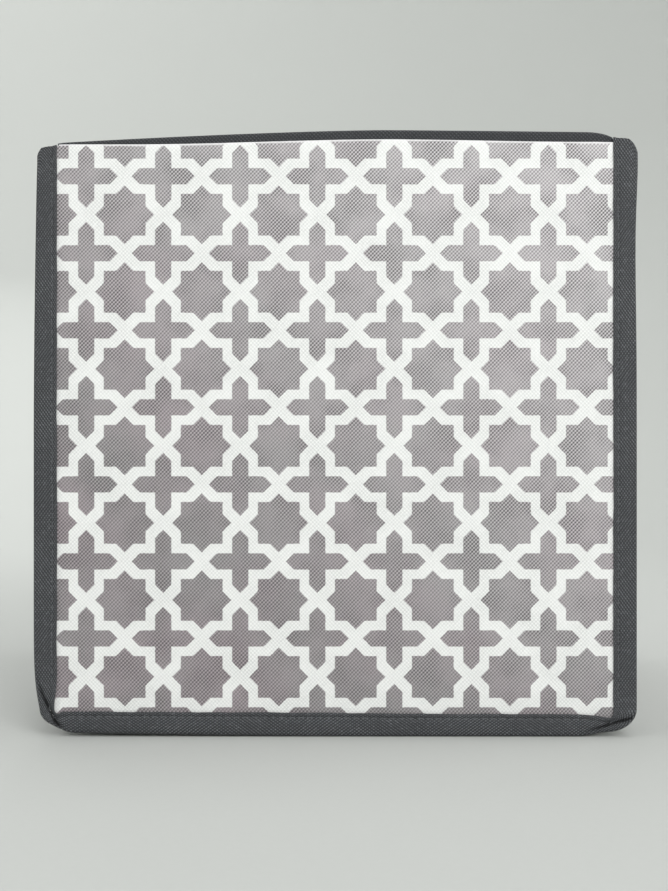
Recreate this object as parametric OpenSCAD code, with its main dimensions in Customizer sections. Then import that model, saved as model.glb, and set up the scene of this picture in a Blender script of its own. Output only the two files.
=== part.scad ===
// Collapsible fabric storage bin, open at the top.
//
// The front and the back are stiff panels. Each is sewn to one long fabric wrap that makes the left
// side, the underside and the right side. The sewn edges stand out past the body as a flat fin, and
// a folded tape binds each fin along the left side, the bottom and the right side. A lining covers
// the inside and rolls over the rim. A loose covered board stiffens the bottom and lifts out.
//
// The origin is at the middle of the footprint, where the fins stand. The front faces -Y, +Z is up.
// Depths into the bin are counted from the outer face of the front panel, and insets from the
// outer faces of the side walls and of the underside.

/* [Body] */
// Width across the two side walls
body_w = 267; // [180:1:400]
// Depth from the front panel's face to the back panel's
body_d = 267; // [180:1:400]
// Height from the underside to the rim
body_h = 280; // [160:1:400]
// Corner radius between a side wall and the underside
body_corner_r = 2; // [1:0.25:3]
// Height of the lining that shows above the print
rim_strip = 4.6; // [3:0.2:12]

/* [Seam fins] */
// How far a bound fin stands out from each side wall
side_fin = 11.5; // [8:0.5:20]
// How far a bound fin hangs below the underside
base_fin = 11.2; // [8:0.2:20]
// Radius of the fin's lower corners
fin_corner_r = 13.5; // [9:0.5:20]
// Distance of the stitch line from the tape's inner edge
stitch_in = 2.4; // [1.5:0.1:5]

/* [Materials] */
// Thickness of the printed fabric and of the lining
skin_t = 0.6; // [0.3:0.1:1]
// Thickness of the folded tape, one layer
tape_t = 0.5; // [0.3:0.1:1]
// Thickness of the boards in the four walls
board_t = 2.5; // [1.5:0.1:5]
// Width of a laid sewing thread
thread_w = 0.6; // [0.4:0.1:1]
// Height of a laid sewing thread above the fabric
thread_t = 0.3; // [0.2:0.1:0.6]

/* [Side walls] */
// Gap between the two half boards of a side wall, where it folds
crease_gap = 5; // [3:0.5:10]
// Play between a half board and the lining of the front or back panel
board_play = 0.3; // [0.2:0.1:1]
// Distance from the crease stitching's ends to the underside and to the print's top edge
crease_margin = 8; // [5:1:20]

/* [Loose base] */
// Thickness of the board in the loose base
base_board_t = 3; // [2:0.5:6]
// Clearance round the loose base
base_gap = 1.8; // [1:0.1:4]
// Corner radius of the loose base
base_corner_r = 5; // [3:0.5:15]
// Width of the cover's hem, turned in under the board
hem_w = 20; // [10:1:40]
// How far the underside sheet stops short of the base's edges
sheet_margin = 5; // [3:0.5:9]

/* [Hidden] */

print_color = [0.62, 0.63, 0.64];
dark_color = [0.27, 0.28, 0.30];
lining_color = [0.33, 0.34, 0.36];
board_color = [0.68, 0.56, 0.42];
thread_color = [0.82, 0.83, 0.84];

arc_steps = 8;       // straight steps in a quarter turn
least_r = 0.4;       // smallest radius of an inner fabric corner
past = 1;            // how far a cut runs past the face that it opens

rim_z = base_fin + body_h;
print_top = rim_z - rim_strip;           // the fins and the printed fabric end here
allowance_top = print_top - skin_t;      // a panel lining's seam allowance is cut this much shorter
front_y = -body_d / 2;

// Layers of a fin, as depths from the front face: panel, lining, side lining, wrap.
fin_t = 4 * skin_t;
wrap_depth = 3 * skin_t;
side_lining_depth = 2 * skin_t;
panel_t = 2 * skin_t + board_t;          // a stiffened wall: fabric, board, lining

// Insets of what lies inside a side wall and above the underside.
side_board_inset = skin_t + board_t;
panel_lining_inset = panel_t + skin_t;
board_foot_z = base_fin + skin_t + body_corner_r;
floor_z = base_fin + 2 * skin_t;         // top of the sewn-in bottom

base_w = body_w - 2 * (panel_t + base_gap);
base_d = body_d - 2 * (panel_t + base_gap);
base_hem_z = floor_z + skin_t;
base_board_z = base_hem_z + skin_t;
base_top_z = base_board_z + base_board_t + skin_t;

// Points of an arc about [cx, cy], from angle a to angle b.
function arc(cx, cy, r, a, b) =
    [for (i = [0 : arc_steps]) let (t = a + (b - a) * i / arc_steps) [cx + r * cos(t), cy + r * sin(t)]];

function backwards(points) = [for (i = [len(points) - 1 : -1 : 0]) points[i]];

// Corner radius that is left where the fabric has moved in by an inset.
function inner_r(inset) = max(body_corner_r - inset, least_r);

// Front view of the body moved in by the two insets: square at the top, round at its lower corners.
function outline(side, under, top, r) =
    let (x = body_w / 2 - side, z = base_fin + under)
    concat([[-x, top]], arc(-x + r, z + r, r, 180, 270), arc(x - r, z + r, r, 270, 360), [[x, top]]);

// U-shaped band between an outer and an inner outline with the same top.
function band(outer, inner) = concat(outer, backwards(inner));

function fin_outline(less, top = print_top) =
    outline(less - side_fin, less - base_fin, top, fin_corner_r - less);
function body_outline(inset, top) = outline(inset, inset, top, inner_r(inset));
function stitch_outline(out) = outline(-out, -out, print_top - thread_w, body_corner_r + out);
function side_lining_outer(top) = outline(side_board_inset, skin_t, top, least_r);
function side_lining_inner(top) = outline(panel_t, 2 * skin_t, top, least_r);
function panel_pocket(top) = outline(panel_lining_inset, 3 * skin_t, top, least_r);

// A flat layer, drawn as seen from the front, between two depths.
module layer(points, from, to) {
    translate([0, front_y + to, 0]) rotate([90, 0, 0]) linear_extrude(to - from) polygon(points);
}

// The same front view run from the front to the back, both ends at the same depth.
module run_through(points, depth) {
    layer(points, depth, body_d - depth);
}

module to_back() { mirror([0, 1, 0]) children(); }
module to_left() { mirror([1, 0, 0]) children(); }

module at_both_ends() {
    children();
    to_back() children();
}

module block(low, high) {
    translate(low) cube(high - low);
}

// A flat sheet with rounded corners, centred on the origin.
module sheet(w, d, r, low, high) {
    translate([0, 0, low]) linear_extrude(high - low) polygon(concat(
        arc(w / 2 - r, d / 2 - r, r, 0, 90), arc(-w / 2 + r, d / 2 - r, r, 90, 180),
        arc(-w / 2 + r, -d / 2 + r, r, 180, 270), arc(w / 2 - r, -d / 2 + r, r, 270, 360)));
}

// ---- front and back panels ----

module outer_panel() {
    color(print_color) layer(fin_outline(tape_t), 0, skin_t);
}

module panel_board() {
    color(board_color)
        layer(panel_pocket(rim_z - skin_t), skin_t, skin_t + board_t);
}

// Lining of a panel: a sheet behind the board, brought forward round the board's edges into the
// fin, and rolled over the rim to show above the print.
module panel_lining() {
    color(lining_color) {
        layer(side_lining_inner(print_top), skin_t + board_t, panel_t);
        layer(band(side_lining_inner(allowance_top), panel_pocket(allowance_top)),
              skin_t, skin_t + board_t);
        layer(band(fin_outline(tape_t, allowance_top), panel_pocket(allowance_top)),
              skin_t, 2 * skin_t);
        difference() {
            block([-body_w / 2, front_y, print_top], [body_w / 2, front_y + panel_t, rim_z]);
            block([-body_w / 2 + skin_t, front_y + skin_t, print_top - past],
                  [body_w / 2 - skin_t, front_y + skin_t + board_t, rim_z - skin_t]);
        }
    }
}

// Tape folded over the fin's edge, with a leg on each face of the fin.
module binding_tape() {
    color(dark_color) {
        layer(band(fin_outline(0), body_outline(0, print_top)), -tape_t, 0);
        layer(band(fin_outline(0), fin_outline(tape_t)), 0, fin_t);
        layer(band(fin_outline(0), body_outline(0, print_top)), fin_t, fin_t + tape_t);
    }
}

// Needle thread on the tape's front leg and bobbin thread on its rear leg.
module seam_thread() {
    line = band(stitch_outline(stitch_in + thread_w / 2), stitch_outline(stitch_in - thread_w / 2));
    color(thread_color) {
        layer(line, -tape_t - thread_t, -tape_t);
        layer(line, fin_t + tape_t, fin_t + tape_t + thread_t);
    }
}

// ---- sides and underside ----

module body_wrap() {
    color(print_color) {
        run_through(band(body_outline(0, print_top), body_outline(skin_t, print_top)), wrap_depth);
        at_both_ends()
            layer(band(fin_outline(tape_t), body_outline(skin_t, print_top)), wrap_depth, fin_t);
    }
}

module body_lining() {
    color(lining_color) {
        run_through(band(side_lining_outer(rim_z), side_lining_inner(rim_z)), panel_t);
        at_both_ends() {
            layer(band(side_lining_outer(print_top), side_lining_inner(print_top)),
                  side_lining_depth, panel_t);
            layer(band(fin_outline(tape_t), side_lining_inner(print_top)),
                  side_lining_depth, wrap_depth);
        }
        side_rim_roll();
        to_left() side_rim_roll();
    }
}

// The lining's roll over the top of the right side wall, open below for the boards.
module side_rim_roll() {
    difference() {
        block([body_w / 2 - panel_t, front_y + panel_t, print_top],
              [body_w / 2, -front_y - panel_t, rim_z]);
        block([body_w / 2 - side_board_inset, front_y + panel_t - past, print_top - past],
              [body_w / 2 - skin_t, -front_y - panel_t + past, rim_z - skin_t]);
    }
}

// One half board of the right side wall, the front one.
module half_board() {
    color(board_color)
        block([body_w / 2 - side_board_inset, front_y + panel_t + board_play, board_foot_z],
              [body_w / 2 - skin_t, -crease_gap / 2, rim_z - skin_t]);
}

// Stitches down the crease of the right side wall, outside and inside.
module crease_thread() {
    low = base_fin + crease_margin;
    high = print_top - crease_margin;
    color(thread_color) {
        block([body_w / 2, -thread_w / 2, low], [body_w / 2 + thread_t, thread_w / 2, high]);
        block([body_w / 2 - panel_t - thread_t, -thread_w / 2, low],
              [body_w / 2 - panel_t, thread_w / 2, high]);
    }
}

// ---- loose base ----

module base_board() {
    color(board_color)
        sheet(base_w - 2 * skin_t, base_d - 2 * skin_t, base_corner_r - skin_t,
              base_board_z, base_board_z + base_board_t);
}

// Fabric over the board, down its edges and turned in under it as a hem.
module base_cover_top() {
    color(lining_color) difference() {
        sheet(base_w, base_d, base_corner_r, base_hem_z, base_top_z);
        sheet(base_w - 2 * skin_t, base_d - 2 * skin_t, base_corner_r - skin_t,
              base_board_z, base_board_z + base_board_t);
        sheet(base_w - 2 * hem_w, base_d - 2 * hem_w, base_corner_r,
              base_hem_z - past, base_board_z + skin_t);
    }
}

module base_cover_underside() {
    color(lining_color)
        sheet(base_w - 2 * sheet_margin, base_d - 2 * sheet_margin, base_corner_r, floor_z, base_hem_z);
}

// ---- nodes ----

module front_outer_panel() { outer_panel(); }
module front_board() { panel_board(); }
module front_lining() { panel_lining(); }
module front_binding_tape() { binding_tape(); }
module front_seam_thread() { seam_thread(); }

module back_outer_panel() { to_back() outer_panel(); }
module back_board() { to_back() panel_board(); }
module back_lining() { to_back() panel_lining(); }
module back_binding_tape() { to_back() binding_tape(); }
module back_seam_thread() { to_back() seam_thread(); }

module left_board_front() { to_left() half_board(); }
module left_board_rear() { to_back() to_left() half_board(); }
module left_crease_thread() { to_left() crease_thread(); }

module right_board_front() { half_board(); }
module right_board_rear() { to_back() half_board(); }
module right_crease_thread() { crease_thread(); }

front_outer_panel();
front_board();
front_lining();
front_binding_tape();
front_seam_thread();
back_outer_panel();
back_board();
back_lining();
back_binding_tape();
back_seam_thread();
body_wrap();
body_lining();
left_board_front();
left_board_rear();
left_crease_thread();
right_board_front();
right_board_rear();
right_crease_thread();
base_board();
base_cover_top();
base_cover_underside();
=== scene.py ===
# %% [markdown]
# # A collapsible storage bin of printed cloth
# The bin is cut from printed nonwoven cloth, lined with dark cloth and stiffened with boards. CAD holds
# its layers as flat, sharp-edged solids. Here each layer becomes what it is in the hand: cloth with a
# soft fold, a puffed binding tape, single stitches. Every length is in metres, and every position
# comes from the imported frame, so the finished looks sit exactly on the working model.

import math

import bpy
import numpy as np
from mathutils import Matrix, Vector


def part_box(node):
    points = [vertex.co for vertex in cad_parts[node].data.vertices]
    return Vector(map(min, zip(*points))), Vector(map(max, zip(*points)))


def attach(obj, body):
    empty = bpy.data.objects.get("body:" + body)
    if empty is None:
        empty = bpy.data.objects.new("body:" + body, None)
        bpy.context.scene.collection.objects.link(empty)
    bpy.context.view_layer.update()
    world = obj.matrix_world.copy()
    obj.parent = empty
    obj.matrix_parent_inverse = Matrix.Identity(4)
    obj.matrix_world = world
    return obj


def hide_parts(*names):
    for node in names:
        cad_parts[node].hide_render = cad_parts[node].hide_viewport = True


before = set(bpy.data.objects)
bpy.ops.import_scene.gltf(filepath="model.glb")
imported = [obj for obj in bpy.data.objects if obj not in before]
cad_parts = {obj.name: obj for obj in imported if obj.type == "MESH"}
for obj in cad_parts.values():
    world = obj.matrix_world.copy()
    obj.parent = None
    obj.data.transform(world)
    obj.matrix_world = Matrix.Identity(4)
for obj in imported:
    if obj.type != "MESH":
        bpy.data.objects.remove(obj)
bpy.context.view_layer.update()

# %% [markdown]
# ## The sizes that everything else follows
# A CAD node's box gives the thickness of its layer and the height of its edges. Reading them from the
# frame keeps this script right when the part's own sizes change.

# %% Read the sizes from the frame
MM = 0.001
panel_low, panel_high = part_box("front_outer_panel")
tape_low, tape_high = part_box("front_binding_tape")

skin = panel_high.y - panel_low.y                       # printed cloth and lining
tape_thick = panel_low.y - tape_low.y                   # one layer of binding tape
fin_thick = tape_high.y - tape_low.y - 2 * tape_thick   # the four cloth layers inside the tape
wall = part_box("front_lining")[1].y - panel_low.y        # cloth, board and lining together

half_d = -panel_low.y
half_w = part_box("right_board_front")[1].x + skin
rim_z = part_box("body_lining")[1].z
print_top = tape_high.z
floor_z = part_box("base_cover_underside")[0].z
under_z = floor_z - 2 * skin
fin_side = tape_high.x - half_w
fin_under = under_z - tape_low.z
print(f"skin {skin:.4f}, wall {wall:.4f}")
print(f"body {2 * half_w:.3f} x {2 * half_d:.3f} x {rim_z - under_z:.3f}")

# %% [markdown]
# ## Small helpers for cloth
# A sheet of cloth is a grid whose points are laid in place by a rule: the rule gets how far across and
# how far along the cloth a point is, and answers with its place in space. The grid is a Blender
# primitive, so its faces and its UV map come with it. The UV map is then set to the place on the flat
# cloth, in metres, so that a print or a weave keeps its true size wherever the cloth goes.
# The Solidify modifier gives the sheet its thickness behind the side that shows.

# %% Helpers: curves of plain numbers
def smooth(t):
    """Eases from 0 to 1 as t goes from 0 to 1."""
    t = np.clip(t, 0, 1)
    return t * t * (3 - 2 * t)


def hump(distance, width):
    """1 in the middle, falling to nothing over about twice the width."""
    return np.exp(-((distance / width) ** 2))


def ripple(a, b, length, seed):
    """Soft unevenness between -1 and 1, from four crossing waves of about the given length."""
    total = 0
    for turn in range(4):
        angle = seed + 2.4 * turn
        wave = (a * math.cos(angle) + b * math.sin(angle)) * math.tau / length
        total = total + np.sin(wave * (1 + 0.37 * turn) + 7.3 * seed + 1.9 * turn) / 4
    return total


# %% Helper: start each step with nothing selected
def deselect_all():
    if bpy.context.object and bpy.context.object.mode != "OBJECT":
        bpy.ops.object.mode_set(mode="OBJECT")
    bpy.ops.object.select_all(action="DESELECT")


def select_only(piece):
    deselect_all()
    piece.select_set(True)
    bpy.context.view_layer.objects.active = piece


# %% Helper: a sheet of cloth laid by a rule
def read_points(piece):
    points = np.empty(len(piece.data.vertices) * 3)
    piece.data.vertices.foreach_get("co", points)
    return points.reshape(-1, 3)


def cloth(name, across, along, place, cut, thickness, marks=None):
    """A grid with a column for each value of across and a row for each value of along.

    cut answers with each point's place on the flat cloth. marks holds rules for further values that
    the materials read from the points, such as how far a point lies below the cloth's folded edge.
    """
    deselect_all()
    bpy.ops.mesh.primitive_grid_add(
        x_subdivisions=len(across) - 1, y_subdivisions=len(along) - 1, size=2)
    piece = bpy.context.object
    piece.name = name
    points = read_points(piece)
    a = across[np.rint((points[:, 0] + 1) / 2 * (len(across) - 1)).astype(int)]
    b = along[np.rint((points[:, 1] + 1) / 2 * (len(along) - 1)).astype(int)]
    laid = np.column_stack(place(a, b))
    piece.data.vertices.foreach_set("co", laid.ravel())
    set_cut(piece, np.column_stack(cut(a, b, laid)))
    for mark, rule in (marks or {}).items():
        layer = piece.data.attributes.new(mark, "FLOAT", "POINT")
        layer.data.foreach_set("value", rule(a, b, laid))
    thicken(piece, thickness)
    smooth_faces(piece)
    print(f"{name}: {len(piece.data.polygons)} faces")
    return piece


def set_cut(piece, places):
    """Stores each point's place on the flat cloth in the UV map that the materials read."""
    layer = piece.data.uv_layers[0]
    layer.name = "cut"
    corners = np.empty(len(piece.data.loops), dtype=int)
    piece.data.loops.foreach_get("vertex_index", corners)
    layer.data.foreach_set("uv", places[corners].ravel())


def thicken(piece, thickness):
    select_only(piece)
    modifier = piece.modifiers.new("thickness", "SOLIDIFY")
    modifier.thickness = thickness
    modifier.offset = -1
    bpy.ops.object.modifier_apply(modifier=modifier.name)


def smooth_faces(piece, angle=50):
    select_only(piece)
    bpy.ops.object.shade_smooth_by_angle(angle=math.radians(angle))


# %% Helper: the same piece for the back
def half_turn(x, y, z):
    """Turns points half a turn about the upright axis, from the front of the bin to its back."""
    return -x, -y, z


def as_is(x, y, z):
    return x, y, z


# %% [markdown]
# ## How the rim really runs
# Boards are cut by hand and cloth gives, so the rim of such a bin is never straight. At the front it
# is highest a little right of the middle and sinks towards the left corner, where the print's folded
# edge nearly reaches it. The other walls sag a little at their corners too. Each wall gets one rule
# for its rim, and one for the folded edge of the print below it.

# %% Heights of the rim and of the print's edge
PEAK_X = 24 * MM          # the highest point of the front's rim
PUFFED = 0.45 * MM        # the rolled lining stands a little over the boards
FRONT_SAG_LEFT = 6.2 * MM
FRONT_SAG_RIGHT = 1.1 * MM
EDGE_SAG_LEFT = 2.4 * MM  # the print's folded edge sinks less than the rim
EDGE_SAG_RIGHT = 1.2 * MM
BACK_SAG = 1.3 * MM
strip = rim_z - print_top


def front_rim(x):
    left = np.clip((PEAK_X - x) / (PEAK_X + half_w), 0, 1)
    right = np.clip((x - PEAK_X) / (half_w - PEAK_X), 0, 1)
    end = np.clip((x - half_w + 13 * MM) / (13 * MM), 0, 1) ** 2.2
    sag = FRONT_SAG_LEFT * left ** 1.45 + FRONT_SAG_RIGHT * right ** 1.2 + 2.2 * MM * end
    return rim_z + PUFFED - sag


def front_edge(x):
    left = smooth((PEAK_X - x) / (122 * MM))
    right = smooth((x - PEAK_X) / (96 * MM))
    return print_top + 0.2 * MM - EDGE_SAG_LEFT * left - EDGE_SAG_RIGHT * right


def back_rim(x):
    return rim_z + PUFFED - 0.5 * MM - BACK_SAG * np.abs((x - 20 * MM) / half_w) ** 2.2


def back_edge(x):
    return back_rim(x) - PUFFED - strip + 0.4 * MM * ripple(x, 0, 190 * MM, 3)


# %% Heights along the side walls, from the front corner's height to the back corner's
def side_rim(y, side):
    """The rim of a side wall; side is -1 on the left and 1 on the right."""
    front = smooth((45 * MM - y) / (half_d + 45 * MM)) ** 1.3
    back = smooth((y - 35 * MM) / (half_d - 35 * MM))
    front_sag = rim_z - front_rim(np.array(side * half_w))
    back_sag = rim_z - back_rim(np.array(-side * half_w))
    return rim_z + PUFFED - (front_sag + PUFFED) * front - (back_sag + PUFFED) * back


def side_edge(y, side):
    """The print's folded edge on a side wall, which meets the front's edge at the front corner."""
    gap = strip + PUFFED + 0.3 * MM * ripple(y, 0, 170 * MM, 5 + side)
    at_corner = front_rim(np.array(side * half_w)) - front_edge(np.array(side * half_w))
    near = smooth((-y - half_d + 70 * MM) / (70 * MM))
    return side_rim(y, side) - gap * (1 - near) - at_corner * near


SETTLE_REACH = 90 * MM    # below the rim by more than this, nothing is moved


def settle(z, top, height):
    """Moves a wall's top to its real height. What is lower moves less, and the foot stays put."""
    share = np.clip((z - top + SETTLE_REACH) / SETTLE_REACH, 0, 1)
    return z + (height - top) * share ** 2


for place_x in (-half_w, 0, half_w):
    rim_here = float(front_rim(np.array(place_x)))
    print(f"front rim at x {place_x:+.3f}: {rim_here:.4f}, print edge {float(front_edge(place_x)):.4f}")

# %% [markdown]
# ## The line that the seams follow
# The print, the wrap and the tape all follow the bin's outline, seen from the front: down the left
# side, round a corner, along the underside and up again. The outline is worked out once, as points
# with their outward directions. A piece that lies further out is the same line, moved outwards.

# %% The outline of the body, seen from the front
CORNER_R = 2 * MM


def spaced(start, end, step):
    count = max(2, int(round(abs(end - start) / step)) + 1)
    return np.linspace(start, end, count)


def u_line(coarse, fine, corner_steps):
    """Stations down the left, along the underside and up the right: x, z, normal x, normal z, length."""
    turn = 40 * MM                       # finer steps within this distance of a corner
    low = under_z + CORNER_R
    flat = half_w - CORNER_R
    down = np.concatenate([
        spaced(print_top, low + turn, coarse)[:-1],
        spaced(low + turn, low, fine)])
    first = np.radians(np.linspace(180, 270, corner_steps + 2)[1:-1])
    straight = np.concatenate([
        spaced(-flat, -flat + turn, fine)[:-1],
        spaced(-flat + turn, flat - turn, coarse)[:-1],
        spaced(flat - turn, flat, fine)])
    second = np.radians(np.linspace(270, 360, corner_steps + 2)[1:-1])
    level = np.full(len(straight), under_z)
    x = np.concatenate([
        np.full(len(down), -half_w), -flat + CORNER_R * np.cos(first), straight,
        flat + CORNER_R * np.cos(second), np.full(len(down), half_w)])
    z = np.concatenate([
        down, low + CORNER_R * np.sin(first), level, low + CORNER_R * np.sin(second), down[::-1]])
    facing = np.concatenate([
        np.full(len(down), math.pi), first, np.full(len(straight), 1.5 * math.pi), second,
        np.full(len(down), 2 * math.pi)])
    spread = CORNER_R + 0.5 * fin_side   # the length is counted along the middle of the tape
    steps = np.hypot(np.diff(x), np.diff(z)) + np.abs(np.diff(facing)) * (spread - CORNER_R)
    length = np.concatenate([[0], np.cumsum(steps)])
    return x, z, np.cos(facing), np.sin(facing), length


seam = u_line(coarse=1.6 * MM, fine=0.6 * MM, corner_steps=32)
seam_x, seam_z, seam_nx, seam_nz, seam_length = seam
print(f"the seam is {seam_length[-1]:.3f} m long, in {len(seam_x)} stations")

# %% [markdown]
# ## The binding tape
# One tape, about 27 mm wide, is folded over the edge of the seam and sewn through. It starts at the
# top left, turns both lower corners and ends at the top right. Three things make it look real: it
# puffs up beside the row of stitches that pulls it down, its outer fold is round, and at each corner
# the spare cloth is tucked under the next stretch, which leaves a deep crease. Modelling the whole
# tape as one long sheet and pressing the crease into it keeps the cloth continuous, as it is.

# %% The tape's section, from its front edge round the fold to its rear edge
STITCH_PITCH = 4.4 * MM   # from one stitch to the next
TAPE_WIDE = 27 * MM       # the tape's full width, before it is folded
STITCH_IN = 2.4 * MM      # from the tape's inner edge to the stitches
PUFF = 0.45 * MM          # how far the tape stands out beyond the stitches
GROOVE = 0.38 * MM        # how far the stitches pull it down
LIP_UP = 0.22 * MM        # how far its inner edge curls up
mid_depth = fin_thick / 2
half_thick = fin_thick / 2 + tape_thick


def tape_relief(a, width):
    """How far the tape's face stands from the middle of the seam, a from its inner edge."""
    beyond = np.clip((a - STITCH_IN) / (width - STITCH_IN), 0, 1)
    puffed = PUFF * np.sin(math.pi * beyond) ** 0.8
    groove = GROOVE * hump(a - STITCH_IN, 0.55 * MM)
    lip = LIP_UP * hump(a - 1.0 * MM, 0.8 * MM)
    return half_thick + puffed - groove + lip


def section(steps_front=26, steps_turn=9, steps_rear=13):
    """Rows of (share of the straight leg, turn angle): -90 on the front, 90 on the rear."""
    ease = np.linspace(0, 1, steps_front) ** 1.15
    rows = [(share, -90.0) for share in ease]
    rows += [(1.0, turned) for turned in np.linspace(-90, 90, steps_turn + 2)[1:-1]]
    rows += [(share, 90.0) for share in np.linspace(1, 0, steps_rear)]
    return np.array(rows)


tape_section = section()

# %% Where the tape's two edges run
OUTER_SAG = 1.7 * MM      # the bound edge draws in towards its top left end, and lifts below the left
TUCK_IN = 3.1 * MM        # it draws in most at the lower left corner
RIGHT_LIFT = 2.2 * MM     # and lifts again below the right corner
INNER_DIP = 1.6 * MM      # the inner edge drops beside the lower right corner
INNER_FLARE = 1.2 * MM    # and widens the print above the lower left corner


def tucked_in(x, z, nx):
    """How far the tape is drawn in round the lower left corner, where its spare cloth is tucked."""
    away = np.hypot(x + half_w, z - under_z)
    reach = (3 + 9 * smooth(np.abs(nx))) * MM
    return TUCK_IN * np.exp(-((away / reach) ** 1.3))


def tape_width(x, z, nx):
    """Width of one leg of the tape at a place on the outline that faces nx sideways."""
    beside = smooth(np.abs(nx))
    width = fin_under + (fin_side - fin_under) * beside
    drawn = OUTER_SAG * np.clip((z - 150 * MM) / (130 * MM), 0, 1) ** 1.6 * (x < 0)
    drawn = drawn + 0.6 * MM * hump(z - 235 * MM, 40 * MM) * (x > 0)
    drawn = drawn - 0.7 * MM * hump(z - 275 * MM, 22 * MM) * (x > 0) + tucked_in(x, z, nx)
    lifted = OUTER_SAG * np.clip(-x / half_w, 0, 1) ** 1.3
    lifted = lifted + RIGHT_LIFT * smooth((x - half_w + 18 * MM) / (18 * MM))
    corner = 1 - np.abs(nx) ** 3
    return width - drawn - lifted * corner


def tape_inner(x, z, nx, length):
    """How far the tape's inner edge runs into the print (negative) or out over the seam."""
    nz = np.sqrt(np.maximum(1 - nx ** 2, 0))
    diagonal = 1 / np.maximum(np.abs(nx), nz) - 1
    square = diagonal * np.where(x > 0, CORNER_R, -1.0 * MM)
    below = 1 - smooth(np.abs(nx) * 1.4)
    slope = -(0.3 * MM - x * 0.006)
    dip = INNER_DIP * np.clip((x - half_w + 22 * MM) / (22 * MM), 0, 1) ** 2
    flared = INNER_FLARE * smooth((30 * MM - z) / (20 * MM)) * (x < 0) * np.abs(nx)
    wander = 0.22 * MM * ripple(length, 0, 55 * MM, 2.1) + 0.10 * MM * ripple(length, 0, 13 * MM, 4.7)
    return below * (slope + dip) + flared + square + wander


# %% The creases where the tape is tucked at the lower corners
CREASES = {
    "left": {
        "line": [(-143.4, 29.0), (-141.0, 21.5), (-137.2, 13.0), (-134.2, 7.0), (-131.0, 4.2)],
        "depth": [0.0, 0.6, 1.0, 1.1, 0.2],
    },
    "right": {
        "line": [(142.0, 8.6), (136.7, 7.4), (131.5, 6.0), (125.5, 3.9), (117.0, 1.4)],
        "depth": [0.9, 1.2, 1.0, 0.6, 0.0],
    },
}


def crease_distance(x, z, crease):
    """Distance from a crease, positive where the cloth is tucked under, and the crease's depth there."""
    line = np.array(crease["line"]) * MM
    depth = np.array(crease["depth"]) * MM
    nearest = np.full(x.shape, 1.0)
    signed = np.full(x.shape, 1.0)
    deepest = np.zeros(x.shape)
    for start, end, deep_a, deep_b in zip(line[:-1], line[1:], depth[:-1], depth[1:]):
        step = end - start
        share = np.clip(((x - start[0]) * step[0] + (z - start[1]) * step[1]) / (step @ step), 0, 1)
        off_x = x - start[0] - share * step[0]
        off_z = z - start[1] - share * step[1]
        apart = np.hypot(off_x, off_z)
        side = np.sign(step[0] * off_z - step[1] * off_x) * np.sign(line[-1, 0] - line[0, 0])
        closer = apart < nearest
        signed = np.where(closer, side * apart, signed)
        deepest = np.where(closer, deep_a + (deep_b - deep_a) * share, deepest)
        nearest = np.minimum(nearest, apart)
    return signed, deepest


def crease_relief(x, z, crease):
    """The cloth on top stands up at a crease. The tucked cloth dives into it, then puffs up behind."""
    apart, deep = crease_distance(x, z, crease)
    over = 1.35 * np.exp(-np.abs(apart) / (4.5 * MM))
    under = 0.75 * hump(apart - 3.2 * MM, 2.4 * MM) - 0.85 * hump(apart, 1.1 * MM)
    return deep * np.where(apart > 0, under, over)


def crease_shadow(x, z):
    """1 in the bottom of a crease: the mask for the painted shade that darkens the tape there."""
    shade = np.zeros(x.shape)
    for crease in CREASES.values():
        apart, deep = crease_distance(x, z, crease)
        line = hump(apart - 0.25 * MM, 0.55 * MM) * np.clip(deep / (0.8 * MM), 0, 1)
        shade = np.maximum(shade, line)
    return shade


# %% How high the tape's cut ends stand
END_FADE = 26 * MM        # how far down the tape its end's slope is felt
END_LEFT = 284.0 * MM
END_RIGHT = 287.7 * MM


def tape_end(x, a):
    """Height of the tape's end: cut round, lower at its outer edge, and lower on the left."""
    left = END_LEFT - 0.20 * a - 4.0 * MM * np.clip((a - 6.3 * MM) / (3.6 * MM), 0, 1) ** 2.2
    right = END_RIGHT - 0.10 * a - 5.5 * MM * np.clip((a - 5.5 * MM) / (6.0 * MM), 0, 1) ** 2.4
    ragged = 0.25 * MM * ripple(a, 0, 3.1 * MM, 1.3)
    return np.where(x < 0, left, right) + ragged


def settle_end(x, z, a):
    share = np.clip((z - print_top + END_FADE) / END_FADE, 0, 1)
    return z + (tape_end(x, a) - print_top) * share ** 2


# %% Lay the tape
def tape_points(row, station, turn, seed):
    """Points of the tape in space for a row of its section and a station of the seam."""
    share, angle = tape_section[row, 0], np.radians(tape_section[row, 1])
    x, z = seam_x[station], seam_z[station]
    nx, nz = seam_nx[station], seam_nz[station]
    length = seam_length[station]
    width = tape_width(x, z, nx)
    start = tape_inner(x, z, nx, length)
    a = start + share * (width - half_thick - start) + half_thick * np.cos(angle)
    stand = tape_relief(a - start, width - start)
    px, pz = x + nx * a, z + nz * a
    for crease in CREASES.values():
        stand = stand + crease_relief(px, pz, crease) * smooth((width - a) / (1.2 * MM))
    pucker = 0.10 * MM * np.cos(math.tau * length / STITCH_PITCH)
    pucker = pucker * hump(a - start - 3.4 * MM, 1.6 * MM)
    stand = stand + pucker + 0.16 * MM * ripple(length, a, 21 * MM, 1.7 + seed)
    stand = stand + 0.35 * MM * hump(pz - print_top + 5 * MM, 5 * MM) * ripple(length, a, 6 * MM, 0.6)
    depth = mid_depth + np.sin(angle) * stand
    pz = settle_end(px, pz, a)
    return turn(px, -half_d + depth, pz)


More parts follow.
